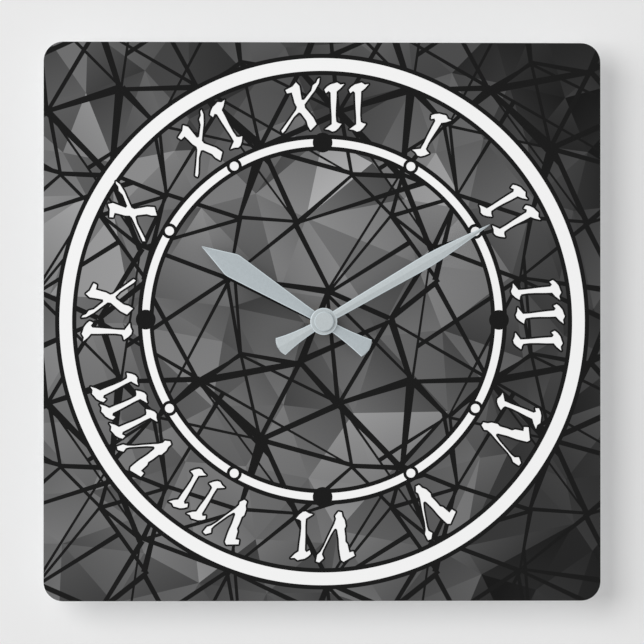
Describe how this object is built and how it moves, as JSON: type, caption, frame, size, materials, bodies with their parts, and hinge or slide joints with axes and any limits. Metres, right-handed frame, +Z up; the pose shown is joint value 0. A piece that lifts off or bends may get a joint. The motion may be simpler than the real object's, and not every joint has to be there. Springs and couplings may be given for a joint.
{
  "type": "wall clock",
  "caption": "Square acrylic wall clock with a printed face in grey tones, two painted hands and a geared quartz movement with battery bay and hanger behind.",
  "frame": {"origin": "on the axis of the hands, in the plane of the wall that the back of the movement touches", "axes": "the dial faces -Y, +X is to the viewer's right, +Z is up and +Y points into the wall"},
  "size_m": [0.273, 0.0302, 0.273],
  "materials": {
    "acrylic": "cast acrylic sheet with polished edges",
    "printed_dial": "grey-scale ultraviolet-cured ink on the front of the sheet",
    "black_rubber": "moulded rubber washer",
    "brass_hardware": "turned and plated brass",
    "zinc_steel": "zinc-plated sheet steel",
    "black_housing": "fine-textured moulded ABS",
    "white_pom": "moulded acetal",
    "battery_jacket": "plain printed sleeve with a bare positive end",
    "nickel_strip": "nickel-plated spring strip",
    "board_laminate": "green soldermask on laminate",
    "black_epoxy": "glob of potting epoxy",
    "amber_bobbin": "natural nylon",
    "copper_wire": "enamelled copper wire",
    "core_steel": "annealed soft iron sheet",
    "magnet": "sintered magnet",
    "grey_knob": "ribbed moulded knob",
    "hand_paint": "pale grey satin paint on aluminium"
  },
  "bodies": {
    "clock_body": {"face_panel": "acrylic", "dial_print": "printed_dial", "rubber_gasket": "black_rubber", "front_washer": "brass_hardware", "mounting_nut": "brass_hardware", "hanger_bracket": "zinc_steel", "movement_case": "black_housing", "rear_cover": "black_housing", "train_plate": "white_pom", "plate_screws": "zinc_steel", "positive_contact": "nickel_strip", "negative_contact": "nickel_strip", "circuit_board": "board_laminate", "driver_chip": "black_epoxy", "quartz_crystal": "nickel_strip", "coil_bobbin": "amber_bobbin", "coil_winding": "copper_wire", "coil_core": "core_steel", "coil_leads": "copper_wire", "stator": "core_steel", "stator_screws": "zinc_steel"},
    "battery": {"aa_battery": "battery_jacket"},
    "minute_assembly": {"minute_arbor": "brass_hardware", "minute_collet": "brass_hardware", "minute_hand": "hand_paint", "centre_cap": "hand_paint"},
    "hour_assembly": {"hour_wheel": "white_pom", "hour_collet": "brass_hardware", "hour_hand": "hand_paint"},
    "motion_assembly": {"motion_wheel": "white_pom", "setting_knob": "grey_knob"},
    "rotor": {"rotor_magnet": "magnet", "rotor_pinion": "white_pom"},
    "intermediate": {"intermediate_wheel": "white_pom"},
    "second_train": {"second_wheel": "white_pom"},
    "third_train": {"third_wheel": "white_pom"},
    "centre_train": {"centre_wheel": "white_pom"}
  },
  "joints": [
    {"name": "battery_slide", "type": "slide", "parent": "clock_body", "child": "battery", "axis": [0, 1, 0], "range_m": [0, 0.022]},
    {"name": "minute_hand_spin", "type": "hinge", "parent": "clock_body", "child": "minute_assembly", "pos_m": [0, -0.012, 0], "axis": [0, 1, 0], "continuous": true},
    {"name": "hour_hand_spin", "type": "hinge", "parent": "clock_body", "child": "hour_assembly", "pos_m": [0, -0.012, 0], "axis": [0, 1, 0], "continuous": true},
    {"name": "setting_knob_spin", "type": "hinge", "parent": "clock_body", "child": "motion_assembly", "pos_m": [-0.01015, -0.012, 0.00369], "axis": [0, 1, 0], "continuous": true},
    {"name": "rotor_spin", "type": "hinge", "parent": "clock_body", "child": "rotor", "pos_m": [-0.00085, -0.012, 0.01294], "axis": [0, 1, 0], "continuous": true},
    {"name": "intermediate_wheel_spin", "type": "hinge", "parent": "clock_body", "child": "intermediate", "pos_m": [0.00539, -0.012, 0.00934], "axis": [0, 1, 0], "continuous": true},
    {"name": "second_wheel_spin", "type": "hinge", "parent": "clock_body", "child": "second_train", "pos_m": [0, -0.012, 0], "axis": [0, 1, 0], "continuous": true},
    {"name": "third_wheel_spin", "type": "hinge", "parent": "clock_body", "child": "third_train", "pos_m": [0.0105, -0.012, 0], "axis": [0, 1, 0], "continuous": true},
    {"name": "centre_wheel_spin", "type": "hinge", "parent": "clock_body", "child": "centre_train", "pos_m": [0, -0.012, 0], "axis": [0, 1, 0], "continuous": true}
  ],
  "couplings": [
    {"joint": "hour_hand_spin", "follows": "minute_hand_spin", "ratio": 0.083333},
    {"joint": "setting_knob_spin", "follows": "minute_hand_spin", "ratio": -0.33333},
    {"joint": "intermediate_wheel_spin", "follows": "rotor_spin", "ratio": -0.2},
    {"joint": "second_wheel_spin", "follows": "rotor_spin", "ratio": 0.033333},
    {"joint": "third_wheel_spin", "follows": "rotor_spin", "ratio": -0.0044444},
    {"joint": "centre_wheel_spin", "follows": "rotor_spin", "ratio": 0.00055556}
  ]
}
